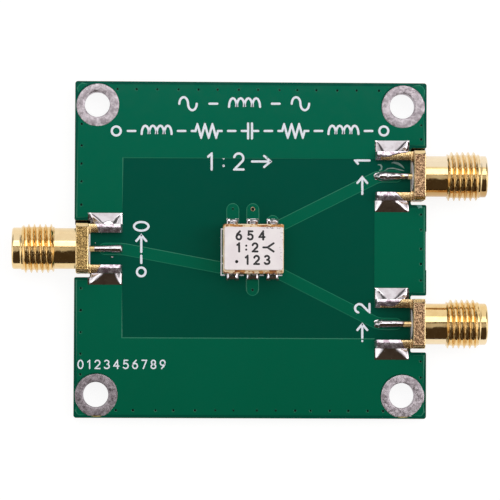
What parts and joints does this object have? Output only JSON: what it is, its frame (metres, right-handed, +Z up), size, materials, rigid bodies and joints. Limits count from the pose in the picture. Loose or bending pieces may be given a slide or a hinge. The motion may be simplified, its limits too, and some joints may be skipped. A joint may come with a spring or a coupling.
{
  "type": "rf power splitter",
  "caption": "Power splitter on a green circuit board, with a white splitter module in the middle, a gold coaxial input jack on one edge and output jacks on the opposite edge.",
  "frame": {"origin": "middle of the board's outline, at the underside of the jack flanges", "axes": "+X towards the output jacks, +Z up out of the board's component side, +Y completes"},
  "size_m": [0.0604, 0.0428, 0.0069],
  "materials": {
    "laminate": "glossy dark green mask over laminate",
    "masked_copper": "glossy green mask over copper",
    "tinned_copper": "bright uneven hot-levelled tin",
    "solder": "bright solder",
    "gold_plate": "bright gold plating, blasted on the flange",
    "white_insulator": "smooth white",
    "via_copper": "bare copper",
    "cream_plastic": "cream moulding with flux stains",
    "white_lid": "smooth off-white",
    "amber_glue": "amber adhesive",
    "ferrite": "dark sintered ferrite",
    "copper_wire": "enamelled copper",
    "resistor_body": "dark film on ceramic"
  },
  "bodies": {
    "root": {"circuit_board": "laminate", "top_ground_copper": "masked_copper", "bottom_ground_copper": "masked_copper", "input_trace": "masked_copper", "output_1_trace": "masked_copper", "output_2_trace": "masked_copper", "ground_tabs": "masked_copper", "stitching_vias": "via_copper", "input_lands": "tinned_copper", "output_1_lands": "tinned_copper", "output_2_lands": "tinned_copper", "module_lands": "tinned_copper", "module_base": "cream_plastic", "module_lid": "white_lid", "lid_adhesive": "amber_glue", "module_lead_solder": "solder", "ferrite_core_1": "ferrite", "ferrite_core_2": "ferrite", "winding_1": "copper_wire", "winding_2": "copper_wire", "balance_resistor": "resistor_body", "plated_hole_1": "tinned_copper", "plated_hole_2": "tinned_copper", "plated_hole_3": "tinned_copper", "plated_hole_4": "tinned_copper", "module_lead_1": "tinned_copper", "module_lead_2": "tinned_copper", "module_lead_3": "tinned_copper", "module_lead_4": "tinned_copper", "module_lead_5": "tinned_copper", "module_lead_6": "tinned_copper", "input_jack_shell": "gold_plate", "input_jack_insulator": "white_insulator", "input_jack_contact": "gold_plate", "input_top_solder": "solder", "input_bottom_solder": "solder", "input_pin_solder": "solder", "output_1_jack_shell": "gold_plate", "output_1_jack_insulator": "white_insulator", "output_1_jack_contact": "gold_plate", "output_1_top_solder": "solder", "output_1_bottom_solder": "solder", "output_1_pin_solder": "solder", "output_2_jack_shell": "gold_plate", "output_2_jack_insulator": "white_insulator", "output_2_jack_contact": "gold_plate", "output_2_top_solder": "solder", "output_2_bottom_solder": "solder", "output_2_pin_solder": "solder"}
  },
  "joints": []
}
